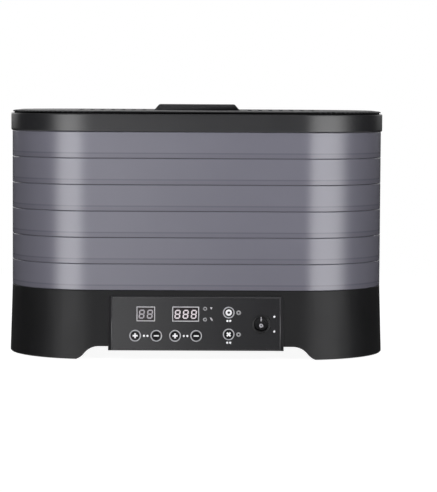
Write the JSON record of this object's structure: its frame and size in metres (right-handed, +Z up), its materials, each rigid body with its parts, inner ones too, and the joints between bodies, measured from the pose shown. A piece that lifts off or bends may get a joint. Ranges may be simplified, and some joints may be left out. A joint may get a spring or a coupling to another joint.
{
  "type": "filament dryer",
  "caption": "Rounded black dryer cabinet with a heated fan base, stacked smoky nesting rings, spool grates, a front control panel and a lift-off lid with a grip.",
  "frame": {"origin": "middle of the footprint, on the surface that the feet stand on", "axes": "+X along the long side, to the right seen from the front; +Y to the back, so the control panel faces -Y; +Z up"},
  "size_m": [0.35, 0.2654, 0.2325],
  "materials": {
    "ring_plastic": "smoky blue-grey moulded plastic, satin outside",
    "base_plastic": "black moulded plastic with a fine satin texture",
    "lid_plastic": "black moulded plastic, semi-gloss",
    "panel_plastic": "dark grey moulded plastic",
    "overlay_film": "printed polyester film",
    "trim_white": "white printed ring",
    "key_plastic": "gloss black key caps",
    "display_window": "smoked display face",
    "lamp_plastic": "clear lamp lens",
    "switch_plastic": "black switch moulding",
    "grate_plastic": "black moulded plastic",
    "foot_rubber": "soft black rubber",
    "board_green": "circuit board",
    "component_plastic": "board components",
    "screw_steel": "zinc-plated steel",
    "contact_brass": "tinned brass contacts",
    "fan_plastic": "glass-filled black plastic",
    "motor_copper": "enamelled copper windings",
    "mica_sheet": "pressed mica sheet",
    "heater_wire": "coiled heating alloy",
    "probe_steel": "steel probe sleeve",
    "cutout_ceramic": "glazed ceramic thermostat body",
    "wire_insulation": "insulated flexible leads"
  },
  "bodies": {
    "base": {"base_housing": "base_plastic", "deck_plate": "base_plastic", "bottom_cover": "base_plastic", "foot_pads": "foot_rubber", "cover_screws": "screw_steel", "control_panel": "panel_plastic", "panel_overlay": "overlay_film", "key_trim_rings": "trim_white", "hours_display": "display_window", "temperature_display": "display_window", "indicator_lamps": "lamp_plastic", "control_board": "board_green", "tact_switches": "component_plastic", "control_board_screws": "screw_steel", "power_switch_body": "switch_plastic", "inlet_socket": "switch_plastic", "inlet_pins": "contact_brass", "inlet_screws": "screw_steel", "power_board": "board_green", "power_components": "component_plastic", "power_board_screws": "screw_steel", "fan_frame": "fan_plastic", "fan_motor": "motor_copper", "fan_screws": "screw_steel", "heater_support": "mica_sheet", "heater_coils": "heater_wire", "thermal_cutout": "cutout_ceramic", "outlet_grille": "grate_plastic", "temperature_probe": "probe_steel", "mains_wires": "wire_insulation", "switch_wires": "wire_insulation", "heater_wires": "wire_insulation", "fan_wires": "wire_insulation", "probe_wires": "wire_insulation", "panel_ribbon": "wire_insulation"},
    "tray_ring_1": {"tray_ring_1": "ring_plastic"},
    "tray_ring_2": {"tray_ring_2": "ring_plastic"},
    "tray_ring_3": {"tray_ring_3": "ring_plastic"},
    "tray_ring_4": {"tray_ring_4": "ring_plastic"},
    "tray_ring_5": {"tray_ring_5": "ring_plastic"},
    "tray_ring_6": {"tray_ring_6": "ring_plastic"},
    "lower_grate": {"spool_grate_lower": "grate_plastic"},
    "upper_grate": {"spool_grate_upper": "grate_plastic"},
    "lid": {"lid_frame": "lid_plastic", "lid_panel": "lid_plastic", "lid_grip": "lid_plastic", "lid_screws": "screw_steel", "grip_screws": "screw_steel"},
    "hours_plus_key": {"hours_plus_key": "key_plastic"},
    "hours_minus_key": {"hours_minus_key": "key_plastic"},
    "temperature_plus_key": {"temperature_plus_key": "key_plastic"},
    "temperature_minus_key": {"temperature_minus_key": "key_plastic"},
    "start_key": {"start_key": "key_plastic"},
    "stop_key": {"stop_key": "key_plastic"},
    "rocker": {"power_switch_rocker": "switch_plastic"},
    "fan": {"fan_rotor": "fan_plastic"}
  },
  "joints": [
    {"name": "ring_1_lift", "type": "slide", "parent": "base", "child": "tray_ring_1", "axis": [0, 0, 1], "range_m": [0, 0.04]},
    {"name": "ring_2_lift", "type": "slide", "parent": "tray_ring_1", "child": "tray_ring_2", "axis": [0, 0, 1], "range_m": [0, 0.04]},
    {"name": "ring_3_lift", "type": "slide", "parent": "tray_ring_2", "child": "tray_ring_3", "axis": [0, 0, 1], "range_m": [0, 0.04]},
    {"name": "ring_4_lift", "type": "slide", "parent": "tray_ring_3", "child": "tray_ring_4", "axis": [0, 0, 1], "range_m": [0, 0.04]},
    {"name": "ring_5_lift", "type": "slide", "parent": "tray_ring_4", "child": "tray_ring_5", "axis": [0, 0, 1], "range_m": [0, 0.04]},
    {"name": "ring_6_lift", "type": "slide", "parent": "tray_ring_5", "child": "tray_ring_6", "axis": [0, 0, 1], "range_m": [0, 0.04]},
    {"name": "lid_lift", "type": "slide", "parent": "tray_ring_6", "child": "lid", "axis": [0, 0, 1], "range_m": [0, 0.1]},
    {"name": "lower_grate_lift", "type": "slide", "parent": "tray_ring_1", "child": "lower_grate", "axis": [0, 0, 1], "range_m": [0, 0.012]},
    {"name": "upper_grate_lift", "type": "slide", "parent": "tray_ring_4", "child": "upper_grate", "axis": [0, 0, 1], "range_m": [0, 0.012]},
    {"name": "hours_plus_press", "type": "slide", "parent": "base", "child": "hours_plus_key", "axis": [0, 0.9965, -0.0831], "range_m": [0, 0.0006], "stiffness_N_per_m": 600},
    {"name": "hours_minus_press", "type": "slide", "parent": "base", "child": "hours_minus_key", "axis": [0, 0.9965, -0.0831], "range_m": [0, 0.0006], "stiffness_N_per_m": 600},
    {"name": "temperature_plus_press", "type": "slide", "parent": "base", "child": "temperature_plus_key", "axis": [0, 0.9965, -0.0831], "range_m": [0, 0.0006], "stiffness_N_per_m": 600},
    {"name": "temperature_minus_press", "type": "slide", "parent": "base", "child": "temperature_minus_key", "axis": [0, 0.9965, -0.0831], "range_m": [0, 0.0006], "stiffness_N_per_m": 600},
    {"name": "start_press", "type": "slide", "parent": "base", "child": "start_key", "axis": [0, 0.9965, -0.0831], "range_m": [0, 0.0006], "stiffness_N_per_m": 600},
    {"name": "stop_press", "type": "slide", "parent": "base", "child": "stop_key", "axis": [0, 0.9965, -0.0831], "range_m": [0, 0.0006], "stiffness_N_per_m": 600},
    {"name": "rocker_tilt", "type": "hinge", "parent": "base", "child": "rocker", "pos_m": [0.0592, -0.12919, 0.03432], "axis": [1, 0, 0], "range_deg": [0, 14]},
    {"name": "fan_spin", "type": "hinge", "parent": "base", "child": "fan", "pos_m": [0, 0, 0.034], "axis": [0, 0, 1], "continuous": true}
  ]
}
